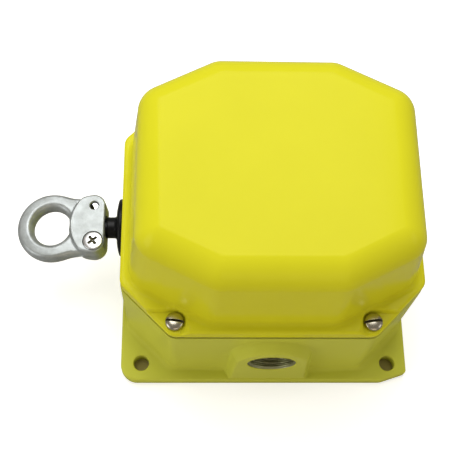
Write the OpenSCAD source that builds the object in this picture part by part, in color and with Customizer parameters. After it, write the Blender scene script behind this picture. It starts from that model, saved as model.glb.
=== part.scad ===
// Rope pull switch: a cast, covered housing with a sprung shaft that ends in a swivelling eye.
// Pulling the rope draws the shaft out, and a cone on the shaft lifts a roller lever
// that presses two snap-action switches.
// Origin: centre of the underside of the mounting plate. Eye towards -X, cover towards +Z.

/* [Mounting plate] */
// Length of the plate along X
plate_w = 131.9; // [126:0.5:150]
// Width of the plate along Y
plate_d = 122.4; // [116:0.5:140]
// Thickness of the plate
plate_t = 5.9; // [4:0.1:7]
// Corner radius of the plate
plate_r = 7; // [2:0.5:8]
// Length along X of the cut corner beside the conduit entry
cut_x = 12; // [4:0.5:14]
// Length along Y of the cut corner
cut_y = 4.8; // [2:0.2:6]
// Hole spacing along X
mount_x = 114.3; // [108:0.1:117]
// Hole spacing along Y
mount_y = 106.2; // [100:0.1:109]
// Diameter of the mounting holes
mount_d = 7.14; // [4:0.01:9]

/* [Tub] */
// Outside length of the tub and of the cover's rim
tub_w = 128.8; // [124:0.2:131]
// Outside width of the tub
tub_d = 110.8; // [106:0.2:114]
// Size of the tub's corner cuts
tub_cut = 21.6; // [18:0.2:24]
// Rounding of the tub's upright edges
tub_r = 6; // [2:0.5:8]
// Height of the tub's top edge
tub_h = 55.3; // [52:0.1:58]
// Wall of the tub
tub_wall = 4.5; // [3:0.1:6]

/* [Conduit entry] */
// Bore radius of the entry
conduit_r = 10.4; // [8:0.1:12]
// Height of the entry's axis
conduit_z = 33; // [31:0.1:36]
// Offset of the entry from the middle
conduit_x = 0.8; // [-3:0.1:3]
// Radius of the arched boss
boss_r = 16.7; // [15:0.1:18]
// Distance from the middle of the housing to the boss's face
boss_y = 60.5; // [57:0.1:61]

/* [Cover] */
// Height of the top of the cover
cover_h = 109.1; // [105:0.1:120]
// Thickness of the rim
rim_t = 6; // [5:0.1:8]
// Edge rounding of the rim
rim_r = 1.8; // [0.5:0.1:2]
// Distance from the rim's side in to the flat top
top_in_x = 17.9; // [17:0.1:22]
// Distance from the rim's front in to the flat top
top_in_y = 15.7; // [15.4:0.1:19]
// Corner cut of the flat top along X
top_cx = 23.8; // [18:0.1:28]
// Corner cut of the flat top along Y
top_cy = 12.2; // [9:0.1:15]
// Rounding of the cover's upper edge
top_r = 10; // [8:0.1:10.5]
// Spread of the cover's foot along X
draft_x = 4.2; // [3:0.1:4.6]
// Spread of the cover's foot along Y
draft_y = 1.3; // [0.8:0.1:1.8]
// Rounding where the dome meets the rim
foot_r = 1.2; // [0.6:0.1:1.4]
// Wall of the cover
cover_wall = 3.4; // [2.5:0.1:4]
// Thickness of the gasket
gasket_t = 0.8; // [0.5:0.1:1.5]
// How far the gasket stays back from the outside
gasket_inset = 0.8; // [0.4:0.1:1.5]

/* [Cover screws] */
// Distance from the rim's side in to a cover screw
screw_in_x = 23.3; // [21:0.1:25]
// Distance from the rim's front in to a cover screw
screw_in_y = 5.2; // [4.9:0.1:5.9]
// Head radius
head_r = 3.95; // [3.2:0.05:4.2]
// Head height
head_h = 3; // [2.4:0.1:3.4]
// Thread radius
thread_r = 2.4; // [2:0.05:2.6]
// Length below the head
screw_l = 18; // [12:0.5:30]

/* [Shaft] */
// Height of the shaft's axis
shaft_z = 40.5; // [38:0.1:42]
// Radius of the shaft
shaft_r = 3.5; // [3.2:0.05:3.6]
// How far the shaft can be pulled out
pull = 10; // [6:0.5:10]
// Distance from the middle of the housing to the middle of the swivel ball
ball_x = 80.5; // [80.2:0.1:84]
// Radius of the swivel ball
ball_r = 4.5; // [4.3:0.05:4.6]
// Inner end of the shaft
shaft_end = 36; // [32:0.5:40]

/* [Eye] */
// Droop of the hanging eye, half of its play
droop = 4.5; // [2:0.1:5]
// Radius of the rope hole
hole_r = 8; // [6:0.1:8.2]
// Distance from the ball to the middle of the rope hole
ring_x = 16.2; // [16:0.1:20]
// Outer radius of the ring
ring_r = 15.6; // [14:0.1:17]
// Half thickness of the ring
ring_h = 4.2; // [3.6:0.1:4.8]
// Half thickness of the clamp block
block_h = 5.6; // [5.4:0.1:6.5]
// Half width of the clamp block
block_w = 13.9; // [13.5:0.1:15]
// Distance from the ball to the block's inner face
block_x = 8.1; // [7.9:0.1:8.3]
// Corner rounding of the block
block_r = 5.5; // [3:0.1:6]
// Distance of the clamp screws from the axis
clamp_y = 8.4; // [8.3:0.1:9.1]
// Distance of the clamp screws from the ball along the shaft
clamp_x = 3; // [2:0.1:3.1]
// Head radius of the clamp screws
clamp_head_r = 4.3; // [3.6:0.05:4.3]
// Thread radius of the clamp screws
clamp_r = 1.95; // [1.5:0.05:2]

/* [Boot] */
// Radius of the boot's flange
boot_flange_r = 13.5; // [12:0.1:14]
// Outer radius of the boot's sleeve
boot_r = 5; // [4.8:0.1:5.2]

/* [Spring and cam] */
// Mean radius of the return spring
spring_r = 6.2; // [5.8:0.1:7]
// Wire radius of the return spring
wire_r = 0.9; // [0.6:0.05:1]
// Number of turns
turns = 7; // [5:1:8]
// Slope of the cam cone
cam_slope = 0.35; // [0.3:0.01:0.38]
// Radius of the cam roller
roller_r = 4; // [3.5:0.1:4.2]

/* [Switches] */
// Length of a switch case
case_l = 49.2; // [46:0.1:50]
// Height of a switch case
case_h = 24.2; // [20:0.1:25]
// Thickness of a switch case
case_t = 17.3; // [16:0.1:18]
// Spacing of the two screws through the cases
case_pitch = 25.4; // [22:0.1:28]
// Radius of a switch plunger
plunger_r = 2.5; // [2:0.1:2.8]

/* [Fits] */
// Gap between a turning or sliding piece and its bore
run_gap = 0.05; // [0.02:0.01:0.1]
// Gap round a fixed piece in its hole
fit_gap = 0.05; // [0.02:0.01:0.1]
// Gap between loose faces
face_gap = 0.3; // [0.2:0.05:0.4]

/* [Hidden] */
$fn = 64;
eps = 0.02;

// Colours
paint = "#dcd92a";
paint_base = "#c9cc2c";
steel = "#b9bcc0";
zinc = "#c3c8c6";
rubber = "#1b1c1e";
bronze = "#a9793a";
case_black = "#2c2b2a";

// Cover levels
gasket_z = tub_h;
cover_z = gasket_z + gasket_t;
rim_z = cover_z + rim_t;
recess_z = rim_z - head_h - 0.1;
recess_r = head_r + 0.75;
screw_x = tub_w / 2 - screw_in_x;
screw_y = tub_d / 2 - screw_in_y;
top_a = tub_w / 2 - top_in_x;
top_b = tub_d / 2 - top_in_y;
foot_cx = top_cx + 3.2;
foot_cy = top_cy + 1.6;
arc_n = 5;

// Shaft line, seen along X from the left wall inwards
wall_out = -tub_w / 2;
bush_r = shaft_r + 2.5;
bush_flange_r = bush_r + 3;
wall_boss_r = bush_r + 6;
wall_boss_end = wall_out + 18;
bush_start = wall_out + 4;
bush_end = wall_boss_end + 2;
boot_plug_r = bush_r + 0.5;
boot_flange_x = wall_out - 2;
boot_end = -ball_x + block_x + 1.1;
spring_start = bush_end;
seat_t = 2;
collar_x = -12;
seat_x = collar_x - seat_t;
hub_l = 7;
hub_r = 8;
ramp_x = collar_x + hub_l;
ramp_l = 16;
ramp_r = 6.6;
cam_r = ramp_r + ramp_l * cam_slope;
collar_end = ramp_x + ramp_l + 3;
pin_r = 1.5;
pin_x = collar_x + 3.5;
tab_t = 3;
tab_x = collar_end + face_gap + 2;
rear_bush_end = tab_x + tab_t + 3;

// Lever: the roller rides on the cone, the hinge stands above the spring
cam_angle = atan(cam_slope);
roller_x = -2;
roller_touch = roller_r + 0.2;
touch_x = roller_x + roller_touch * sin(cam_angle);
roller_z = shaft_z + ramp_r + (touch_x - ramp_x) * cam_slope + roller_touch * cos(cam_angle);
roller_w = 8;
roller_pin_r = 1.5;
hinge_x = -30;
hinge_z = roller_z + 2.4;
lever_t = 2;
lever_z = hinge_z - lever_t / 2;
lever_arm = roller_x - hinge_x;
lever_pin_r = 2;
barrel_r = 4;
fork_y = roller_w / 2 + 0.5;
fork_l = 12;
lift = pull * cam_slope;

// Switches stacked against the frame's plate
plate_y = 19.3;
sheet_t = 3;
stack_gap = 0.1;
case_rear_y = plate_y - stack_gap - case_t;
case_front_y = case_rear_y - stack_gap - case_t;
lever_front_y = case_front_y + 3.5;
lever_rear_y = case_rear_y + case_t - 3.5;
case_x = -38;
plunger_x = hinge_x + lever_arm / 2;
plunger_z = lever_z + lever_t + 0.3;
plunger_lift = lift / 2;
case_z = plunger_z + plunger_lift + 3.4;
nose_r = plunger_r + 2;
nose_h = 2.3;
case_hole_z = case_z + 6;
case_hole_x = case_x + (case_l - case_pitch) / 2;
case_screw_r = 2;
foot_z = 12;
foot_y = 40;
foot_screws = [-22, 6];
foot_margin = 8;
foot_screw_y = foot_y - foot_margin;
tab_reach = bush_flange_r + 4;

// Small screws: shank radius, then head radius and height
m3_r = 1.6;
m3_head_r = 3.5;
m3_head_h = 2.2;
m3_l = 8;
slot_w = 1;
terminal_head_r = 3;
terminal_head_h = 2;
terminal_screw_l = 5;
terminal_pit = 10;
terminal_deep = 2.5;
case_head_r = 3.6;
case_head_h = 2.2;
nut_r = 4;
nut_h = 3;
nut_tail = 1.5;
pad_r = 5;
ground_x = 36;
ground_y = -24;
ground_pad_h = 5;

// Swivel ball: half its length, then the shaft's spigot in it and the screw that keeps it on
ball_half = 3.3;
spigot_r = 2;
spigot_l = 2;
ball_head_r = 2.4;
ball_screw_r = 1.2;
ball_slot = 0.6;

// Clamp screws of the eye: height of the head and of its cylindrical edge
clamp_head_h = 2.45;
clamp_edge_h = 1.3;
clamp_seat = 3;
clamp_l = 8.2;
cross_l = 4.6;
cross_w = 0.9;

// Vertices of an octagon with its own corner cuts, anticlockwise
function octagon(a, b, cx, cy) = [
  [a, cy - b], [a, b - cy], [a - cx, b], [cx - a, b],
  [-a, b - cy], [-a, cy - b], [cx - a, -b], [a - cx, -b]];

// Direction of the outward normal of each of its edges
function edge_angles(cx, cy) = let (k = atan2(cx, cy))
  [-k, 0, k, 90, 180 - k, 180, 180 + k, 270, 360 - k];

// One closed loop: an octagon grown by r with round corners, at height z
function loop(a, b, cx, cy, r, z) = let (v = octagon(a, b, cx, cy), e = edge_angles(cx, cy))
  [for (i = [0:7]) for (k = [0:arc_n]) let (t = e[i] + (e[i + 1] - e[i]) * k / arc_n)
    [v[i][0] + r * cos(t), v[i][1] + r * sin(t), z]];

// Faces of a skin over stacked loops of n points, closed at both ends
function skin_faces(loops, n) = concat(
  [[for (k = [0:n - 1]) k]],
  [for (j = [0:loops - 2]) for (k = [0:n - 1])
    [j * n + k, (j + 1) * n + k, (j + 1) * n + (k + 1) % n, j * n + (k + 1) % n]],
  [[for (k = [n - 1:-1:0]) (loops - 1) * n + k]]);

module skin(loops) {
  n = len(loops[0]);
  polyhedron(points = [for (l = loops) each l], faces = skin_faces(len(loops), n), convexity = 4);
}

// Unit vector from p to q
function unit(p, q) = (q - p) / norm(q - p);

// Convex outline with its own radius at each corner: straight sides and true arcs
module round_outline(v) {
  n = len(v);
  p = [for (i = [0:n - 1]) [v[i][0], v[i][1]]];
  to_last = [for (i = [0:n - 1]) unit(p[i], p[(i + n - 1) % n])];
  to_next = [for (i = [0:n - 1]) unit(p[i], p[(i + 1) % n])];
  half = [for (i = [0:n - 1]) acos(to_last[i] * to_next[i]) / 2];
  polygon([for (i = [0:n - 1]) for (d = [to_last[i], to_next[i]]) p[i] + d * v[i][2] / tan(half[i])]);
  for (i = [0:n - 1])
    translate(p[i] + unit([0, 0], to_last[i] + to_next[i]) * v[i][2] / sin(half[i]))
      circle(r = v[i][2]);
}

// Tub outline drawn in by a margin
module tub_outline(inset) {
  a = tub_w / 2 - inset;
  b = tub_d / 2 - inset;
  c = tub_cut - inset * (2 - sqrt(2));
  round_outline([for (q = octagon(a, b, c, c)) [q[0], q[1], max(tub_r - inset, 1.5)]]);
}

module plate_outline() {
  a = plate_w / 2;
  b = plate_d / 2;
  round_outline([[a, cut_y - b, 1.5], [a, b, plate_r], [-a, b, plate_r],
                 [-a, -b, plate_r], [a - cut_x, -b, 8]]);
}

module at_corners(x, y) {
  for (sx = [-1, 1]) for (sy = [-1, 1])
    translate([sx * x, sy * y, 0]) face_outwards(sx, sy) children();
}

// Mirrors a corner's shape so that its +X +Y side always points outwards
module face_outwards(sx, sy) {
  mirror([sx < 0 ? 1 : 0, 0, 0]) mirror([0, sy < 0 ? 1 : 0, 0]) children();
}

// A rod along +X from x0 to x1
module rod_x(x0, x1, r) {
  translate([x0, 0, 0]) rotate([0, 90, 0]) cylinder(r = r, h = x1 - x0);
}

// A rod along +Y from y0 to y1
module rod_y(y0, y1, r) {
  translate([0, y0, 0]) rotate([-90, 0, 0]) cylinder(r = r, h = y1 - y0);
}

module base_housing() color(paint_base) difference() {
  union() {
    linear_extrude(plate_t) plate_outline();
    difference() {
      linear_extrude(tub_h) tub_outline(0);
      translate([0, 0, plate_t]) linear_extrude(tub_h) tub_outline(tub_wall);
    }
    intersection() {
      at_corners(screw_x, screw_y) cylinder(r = thread_r + 3.6, h = tub_h);
      linear_extrude(tub_h) tub_outline(eps);
    }
    conduit_boss();
    translate([0, 0, shaft_z]) rod_x(wall_out + 1, wall_boss_end, wall_boss_r);
    for (x = foot_screws) translate([x, foot_screw_y, plate_t - 1])
      cylinder(r = pad_r, h = foot_z - plate_t + 1);
    translate([ground_x, ground_y, plate_t - 1]) cylinder(r = pad_r, h = ground_pad_h + 1);
  }
  at_corners(mount_x / 2, mount_y / 2) translate([0, 0, -1]) cylinder(r = mount_d / 2, h = plate_t + 2);
  at_corners(screw_x, screw_y) translate([0, 0, tub_h - screw_l])
    cylinder(r = thread_r + fit_gap, h = screw_l + 1);
  translate([conduit_x, 0, conduit_z]) rod_y(-boss_y - 1, -tub_d / 2 + tub_wall + 1, conduit_r);
  translate([0, 0, shaft_z]) {
    rod_x(bush_start, wall_boss_end + 1, bush_r + fit_gap);
    rod_x(wall_out - 1, bush_start + 1, boot_plug_r + fit_gap);
  }
  for (x = foot_screws) translate([x, foot_screw_y, plate_t]) cylinder(r = m3_r + fit_gap, h = foot_z);
  translate([ground_x, ground_y, plate_t]) cylinder(r = m3_r + fit_gap, h = ground_pad_h + 1);
}

// Arched boss that runs straight down to the plate
module conduit_boss() {
  depth = boss_y - tub_d / 2 + tub_wall;
  translate([conduit_x, 0, conduit_z]) rod_y(-boss_y, depth - boss_y, boss_r);
  translate([conduit_x - boss_r, -boss_y, plate_t - 1]) cube([2 * boss_r, depth, conduit_z - plate_t + 1]);
}

// The rim's outside, and the dome's from its foot to the flat top
rim_a = tub_w / 2 - tub_r;
rim_b = tub_d / 2 - tub_r;
rim_c = tub_cut - tub_r * (2 - sqrt(2));
wall_top = cover_h - top_r;
wall_foot = rim_z + foot_r;

// A loop of the dome, f being 1 at the foot and 0 at the top, grown by r
function dome_loop(f, r, z) = loop(top_a + f * draft_x, top_b + f * draft_y,
  top_cx + f * (foot_cx - top_cx), top_cy + f * (foot_cy - top_cy), r, z);

module rim_outside() {
  skin(concat(
    [loop(rim_a, rim_b, rim_c, rim_c, tub_r, cover_z)],
    [for (t = [0:30:90])
      loop(rim_a, rim_b, rim_c, rim_c, tub_r - rim_r * (1 - cos(t)), rim_z - rim_r * (1 - sin(t)))]));
}

module dome_outside() {
  skin(concat(
    [dome_loop(1, top_r + foot_r, rim_z - rim_t / 2)],
    [for (t = [0:30:90]) dome_loop(1, top_r + foot_r * (1 - sin(t)), rim_z + foot_r * (1 - cos(t)))],
    [for (t = [0:15:75]) dome_loop(0, top_r * cos(t), wall_top + top_r * sin(t))],
    [dome_loop(0, 0.5, cover_h)]));
}

module cover_inside() {
  r = top_r - cover_wall;
  skin(concat(
    [dome_loop(1, r, cover_z - 1)],
    [for (t = [0:30:60]) dome_loop(0, r * cos(t), wall_top + r * sin(t))],
    [dome_loop(0, 1, cover_h - cover_wall)]));
}

// Lowered seat round a cover screw, open to the corner of the rim
module screw_recess() {
  reach = 20;
  translate([0, 0, recess_z]) {
    cylinder(r = recess_r, h = head_h + 1);
    translate([0, -recess_r, 0]) cube([reach, recess_r + reach, head_h + 1]);
    translate([-recess_r, 0, 0]) cube([recess_r + reach, reach, head_h + 1]);
  }
}

module cover() color(paint) difference() {
  union() {
    difference() {
      rim_outside();
      at_corners(screw_x, screw_y) screw_recess();
    }
    dome_outside();
  }
  cover_inside();
  at_corners(screw_x, screw_y) translate([0, 0, cover_z - 1]) cylinder(r = thread_r + 0.3, h = rim_t);
}

module cover_gasket() color(rubber) translate([0, 0, gasket_z]) difference() {
  linear_extrude(gasket_t) tub_outline(gasket_inset);
  translate([0, 0, -1]) linear_extrude(gasket_t + 2) tub_outline(tub_wall);
  at_corners(screw_x, screw_y) translate([0, 0, -1]) cylinder(r = thread_r + 0.3, h = gasket_t + 2);
}

module cover_screws() color(steel)
  for (sx = [-1, 1]) for (sy = [-1, 1])
    translate([sx * screw_x, sy * screw_y, recess_z]) rotate([0, 0, sx * 7])
      slotted_screw(head_r, head_h, thread_r, screw_l - 2);

// Round head with a sunk slot along X, standing on z = 0
module slotted_screw(r, h, shank, l) difference() {
  union() {
    rotate_extrude() polygon(concat([[0, 0], [r - 0.3, 0]],
      [for (t = [0:18:90]) [r * cos(t), h * 0.45 + h * 0.55 * sin(t)]]));
    translate([0, 0, -l]) cylinder(r = shank, h = l + 0.5);
  }
  translate([-r - 1, -0.65, h * 0.45]) cube([2 * r + 2, 1.3, h]);
}

module shaft_boot() color(rubber) translate([0, 0, shaft_z]) rotate([0, -90, 0]) rotate_extrude()
  polygon([
    [shaft_r + face_gap, -bush_start + 0.2], [boot_plug_r, -bush_start + 0.2],
    [boot_plug_r, -wall_out], [boot_flange_r, -wall_out],
    [boot_flange_r - 0.3, -boot_flange_x - 0.4], [boot_flange_r - 2.2, -boot_flange_x],
    [boot_r + 3, -boot_flange_x + 0.4], [boot_r + 0.8, -boot_flange_x + 1.2],
    [boot_r, -boot_flange_x + 2.6], [boot_r, -boot_end - 0.4],
    [boot_r - 0.4, -boot_end], [shaft_r + face_gap, -boot_end]]);

// Flanged bush along X: barrel from x0 to x1, flange at the end given by side
module flanged_bush(x0, x1, r, flange_x) difference() {
  union() {
    rod_x(x0, x1, r);
    rod_x(flange_x, flange_x + 2, bush_flange_r);
  }
  rod_x(x0 - 1, x1 + 1, shaft_r + run_gap);
}

module front_bushing() color(bronze) translate([0, 0, shaft_z])
  flanged_bush(bush_start, bush_end, bush_r, bush_end - 2);

module rear_bushing() color(bronze) translate([0, 0, shaft_z])
  flanged_bush(tab_x - 2, rear_bush_end, bush_r, tab_x - 2);

module mechanism_frame() color(steel) difference() {
  union() {
    // upright plate beside the switches
    translate([case_x, plate_y, foot_z]) cube([tab_x + tab_t - case_x, sheet_t, case_z + case_h - foot_z]);
    // foot on the floor
    translate([foot_screws[0] - foot_margin, plate_y, foot_z])
      cube([foot_screws[1] - foot_screws[0] + 2 * foot_margin, foot_y - plate_y, sheet_t]);
    // tab that carries the rear bush
    translate([tab_x, -tab_reach, shaft_z - tab_reach]) cube([tab_t, plate_y + tab_reach, 2 * tab_reach]);
  }
  translate([0, 0, shaft_z]) rod_x(tab_x - 1, tab_x + tab_t + 1, bush_r + fit_gap);
  for (x = foot_screws) translate([x, foot_screw_y, foot_z - 1])
    cylinder(r = m3_r + face_gap, h = sheet_t + 2);
  translate([hinge_x, 0, hinge_z]) rod_y(plate_y - 1, plate_y + sheet_t + 1, lever_pin_r + fit_gap);
  switch_screw_places() rod_y(plate_y - 1, plate_y + sheet_t + 1, case_screw_r + fit_gap);
  // window that lightens the plate
  translate([case_x + 6, plate_y - 1, foot_z + 10]) cube([case_l - 10, sheet_t + 2, hinge_z - foot_z - 18]);
}

module switch_screw_places() {
  for (k = [0, 1]) translate([case_hole_x + k * case_pitch, 0, case_hole_z]) children();
}

// Slotted pan head on z = 0 with a shank below
module pan_screw(r, h, l) difference() {
  union() {
    rotate_extrude() polygon(concat([[0, 0]], [for (k = [0:4]) [r * cos(22.5 * k), h * sin(22.5 * k)]]));
    translate([0, 0, -l]) cylinder(r = m3_r, h = l + h / 4);
  }
  translate([-r - 1, -slot_w / 2, h / 2]) cube([2 * r + 2, slot_w, h]);
}

module frame_screws() color(steel)
  for (x = foot_screws) translate([x, foot_screw_y, foot_z + sheet_t])
    pan_screw(m3_head_r, m3_head_h, m3_l);

module ground_screw() color("#5f9a4c") translate([ground_x, ground_y, plate_t + ground_pad_h]) {
  cylinder(r = nut_r, h = nut_h, $fn = 6);
  translate([0, 0, 1 - ground_pad_h]) cylinder(r = m3_r, h = ground_pad_h);
}

module pull_shaft() color(steel) translate([0, 0, shaft_z]) difference() {
  union() {
    rod_x(-ball_x + ball_half + 0.1, shaft_end - 0.8, shaft_r);
    rod_x(shaft_end - 0.9, shaft_end, shaft_r - 0.7);
    rod_x(-ball_x - spigot_l, -ball_x + ball_half + 1, spigot_r);
  }
  translate([pin_x, 0, -10]) cylinder(r = pin_r + fit_gap, h = 20);
  rod_x(-ball_x - ball_half, -ball_x + ball_half + 0.7, ball_screw_r + fit_gap);
}

module cam_collar() color("#8b8f94") translate([0, 0, shaft_z]) difference() {
  rotate([0, 90, 0]) rotate_extrude() polygon([
    [shaft_r + fit_gap, collar_x], [hub_r - 0.6, collar_x], [hub_r, collar_x + 0.6], [hub_r, ramp_x - 0.5],
    [hub_r - 0.5, ramp_x], [ramp_r, ramp_x], [cam_r, ramp_x + ramp_l], [cam_r, collar_end - 0.6],
    [cam_r - 0.6, collar_end], [shaft_r + fit_gap, collar_end]]);
  translate([pin_x, 0, -20]) cylinder(r = pin_r + fit_gap, h = 40);
}

module collar_pin() color(steel) translate([pin_x, 0, shaft_z - hub_r + 0.5]) difference() {
  cylinder(r = pin_r, h = 2 * hub_r - 1);
  translate([0, 0, -1]) cylinder(r = pin_r - 0.6, h = 2 * hub_r + 1);
}

module spring_seat() color(steel) translate([0, 0, shaft_z]) difference() {
  rod_x(seat_x, seat_x + seat_t - eps, spring_r + wire_r + 1.2);
  rod_x(seat_x - 1, collar_x + 1, shaft_r + fit_gap);
}

// Helical wire along X from x0 to x1, its first and last half turns closed up
module coil_x(x0, x1, r, wire, n) {
  sides = 8;
  steps = 16;
  total = n * steps;
  function rise(u) = x0 + wire + (x1 - x0 - 2 * wire) * u;
  pts = [for (j = [0:total]) let (a = 360 * j / steps, c = rise(j / total))
    for (k = [0:sides - 1]) let (b = 360 * k / sides)
      [c - wire * sin(b), (r + wire * cos(b)) * cos(a), (r + wire * cos(b)) * sin(a)]];
  skin_points(pts, total + 1, sides);
}

module skin_points(pts, loops, n) {
  polyhedron(points = pts, faces = skin_faces(loops, n), convexity = 6);
}

module return_spring() color("#9fa3a6") translate([0, 0, shaft_z])
  coil_x(spring_start + 0.05, seat_x - 0.05, spring_r, wire_r, turns);

module swivel_ball() color(steel) translate([-ball_x, 0, shaft_z]) difference() {
  intersection() {
    sphere(r = ball_r);
    rod_x(-ball_half, ball_half, ball_r);
  }
  rod_x(-ball_r, ball_r, spigot_r + run_gap);
  rod_x(-ball_r, -spigot_l - 0.1, ball_head_r + 0.2);
}

module ball_screw() color(steel) translate([-ball_x, 0, shaft_z]) difference() {
  union() {
    rod_x(0.2 - ball_half, -spigot_l - 0.1, ball_head_r);
    rod_x(-spigot_l - 0.2, ball_half - 0.1, ball_screw_r);
  }
  translate([-ball_r, -ball_slot / 2, -ball_r]) cube([ball_r - ball_half + 0.6, ball_slot, 2 * ball_r]);
}

// Places a shape of the eye's own frame: ball at the origin, ring towards -X
module eye_place() {
  translate([-ball_x, 0, shaft_z]) rotate([0, -droop, 0]) children();
}

// Round-edged ring section: straight hole wall, then a soft crown
module eye_ring_half() {
  mid = (hole_r + ring_r) / 2;
  half = (ring_r - hole_r) / 2;
  wall = ring_h * 0.4;
  translate([-ring_x, 0, 0]) rotate_extrude($fn = 96) polygon(concat(
    [[ring_r, 0], [ring_r, wall * 0.6]],
    [for (t = [18:18:162])
      [mid + half * pow(abs(cos(t)), 0.8) * sign(cos(t)), wall + (ring_h - wall) * pow(sin(t), 0.8)]],
    [[hole_r, wall], [hole_r, 0]]));
}

// Outline of the clamp block: round corners at the shaft side, a bowed side at the ring
module block_outline(inset) {
  bow = 23;
  intersection() {
    translate([bow - 7.9 + inset, 0]) circle(r = bow);
    round_outline([for (q = [[block_x, -block_w], [block_x, block_w], [-14, block_w], [-14, -block_w]])
      [q[0] - (q[0] > 0 ? inset : 0), q[1] - sign(q[1]) * inset, block_r - inset]]);
  }
}

module eye_half() difference() {
  union() {
    eye_ring_half();
    // webs that join the ring to the block
    for (s = [-1, 1]) hull($fn = 32) {
      translate([-ring_x + 3, s * (ring_r - 5.2), 0]) cylinder(r = 3.4, h = ring_h * 0.45);
      translate([-ring_x + 3, s * (ring_r - 5.2), 0]) cylinder(r = 1.6, h = ring_h * 0.9);
      translate([-3, s * (block_w - 4.6), 0]) cylinder(r = 3.6, h = ring_h * 0.45);
      translate([-3, s * (block_w - 4.6), 0]) cylinder(r = 1.8, h = ring_h * 0.9);
    }
    hull($fn = 32) {
      linear_extrude(block_h - 1.3) block_outline(0);
      linear_extrude(block_h) block_outline(1.2);
    }
  }
  // rope hole, kept clear of the webs
  translate([-ring_x, 0, -1]) cylinder(r = hole_r, h = block_h + 2, $fn = 96);
  // seat of the ball and mouth for the shaft
  sphere(r = ball_r + face_gap);
  rotate([0, 90, 0]) translate([0, 0, 2.5])
    cylinder(r1 = shaft_r + 0.4, r2 = shaft_r + 1.15, h = block_x - 2.4);
  // head of this half's screw on one side, tip of the other half's on the other
  translate([clamp_x, -clamp_y, clamp_seat]) cylinder(r = clamp_head_r + face_gap, h = block_h);
  for (s = [-1, 1]) translate([clamp_x, s * clamp_y, -1]) cylinder(r = clamp_r + fit_gap, h = block_h + 2);
  translate([-40, -20, -10]) cube([60, 40, 10 + eps / 2]);
}

module eye_half_upper() color(zinc) eye_place() eye_half();

module eye_half_lower() color(zinc) eye_place() rotate([180, 0, 0]) eye_half();

// Low crowned head on z = 0 with a cross recess
module eye_screw() difference() {
  union() {
    rotate_extrude() polygon(concat([[0, 0], [clamp_head_r, 0]],
      [for (k = [0:4]) [clamp_head_r * pow(cos(22.5 * k), 0.4),
        clamp_edge_h + (clamp_head_h - clamp_edge_h) * sin(22.5 * k)]]));
    translate([0, 0, -clamp_l]) cylinder(r = clamp_r, h = clamp_l + clamp_edge_h / 2);
  }
  for (a = [0, 90]) rotate([0, 0, a])
    translate([-cross_l / 2, -cross_w / 2, clamp_edge_h - 0.2]) cube([cross_l, cross_w, clamp_head_h]);
}

module eye_screws() color("#e8e9ea") eye_place()
  for (flip = [0, 180]) rotate([flip, 0, 0])
    translate([clamp_x, -clamp_y, clamp_seat + eps]) rotate([0, 0, 38]) eye_screw();

// Lever: hinge barrel, pressing plate and a fork for the roller
module actuator_lever() color("#9da1a5") difference() {
  union() {
    translate([hinge_x, 0, hinge_z]) rod_y(lever_front_y, plate_y - face_gap, barrel_r);
    translate([hinge_x, lever_front_y, lever_z]) cube([lever_arm - 5, lever_rear_y - lever_front_y, lever_t]);
    for (y = [fork_y, -fork_y - lever_t]) {
      translate([roller_x - fork_l, y, roller_z]) cube([fork_l, lever_t, lever_z + lever_t - roller_z]);
      translate([roller_x, 0, roller_z]) rod_y(y, y + lever_t, roller_pin_r + 1.5);
    }
  }
  translate([hinge_x, 0, hinge_z]) rod_y(-30, 30, lever_pin_r + run_gap);
  translate([roller_x, 0, roller_z]) rod_y(-10, 10, roller_pin_r + fit_gap);
}

module lever_pin() color(steel) translate([hinge_x, 0, hinge_z]) {
  rod_y(case_front_y + 1, plate_y + sheet_t + 0.5, lever_pin_r);
  rod_y(plate_y + sheet_t + fit_gap, plate_y + sheet_t + 1.8, lever_pin_r + 1.6);
}

module pin_clip() color("#4a4d50") translate([hinge_x, case_front_y + 3.2, hinge_z]) difference() {
  rod_y(-1, 0, lever_pin_r + 1.6);
  rod_y(-2, 1, lever_pin_r + fit_gap);
  translate([-0.9, -2, -6]) cube([1.8, 4, 6]);
}

module lever_roller() color("#7b7f83") translate([roller_x, 0, roller_z]) difference() {
  rod_y(-roller_w / 2, roller_w / 2, roller_r);
  rod_y(-roller_w, roller_w, roller_pin_r + run_gap);
}

module roller_pin() color(steel) translate([roller_x, 0, roller_z])
  rod_y(-fork_y - lever_t - 0.5, fork_y + lever_t + 0.5, roller_pin_r);

// Snap-action switch: moulded case with a nose round its plunger and a lid line
module switch_case(y) color(case_black) difference() {
  union() {
    translate([case_x, y, case_z]) cube([case_l, case_t, case_h - 6]);
    translate([case_x + 0.5, y + 0.5, case_z + case_h - 6.5]) cube([case_l - 1, case_t - 1, 6.5]);
    translate([plunger_x, y + case_t / 2, case_z - nose_h]) cylinder(r = nose_r, h = nose_h + 1);
  }
  translate([plunger_x, y + case_t / 2, case_z - nose_h - 1]) cylinder(r = plunger_r + run_gap, h = 9);
  switch_screw_places() rod_y(y - 1, y + case_t + 1, case_screw_r + fit_gap);
  terminal_places(y) {
    translate([-terminal_pit / 2, -terminal_pit / 2, -terminal_deep])
      cube([terminal_pit, terminal_pit, 2 * terminal_deep]);
    translate([0, 0, -terminal_deep - terminal_screw_l - 0.5])
      cylinder(r = m3_r + fit_gap, h = terminal_screw_l + 1);
  }
}

module terminal_places(y) {
  for (k = [0:2]) translate([case_x + 9 + k * (case_l - 18) / 2, y + case_t / 2, case_z + case_h]) children();
}

module switch_case_front() switch_case(case_front_y);

module switch_case_rear() switch_case(case_rear_y);

module switch_plunger(y) color("#b5482f") translate([plunger_x, y + case_t / 2, plunger_z]) {
  translate([0, 0, plunger_r]) cylinder(r = plunger_r, h = case_z - plunger_z + 3 - plunger_r);
  translate([0, 0, plunger_r]) sphere(r = plunger_r);
}

module switch_plunger_front() switch_plunger(case_front_y);

module switch_plunger_rear() switch_plunger(case_rear_y);

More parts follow.
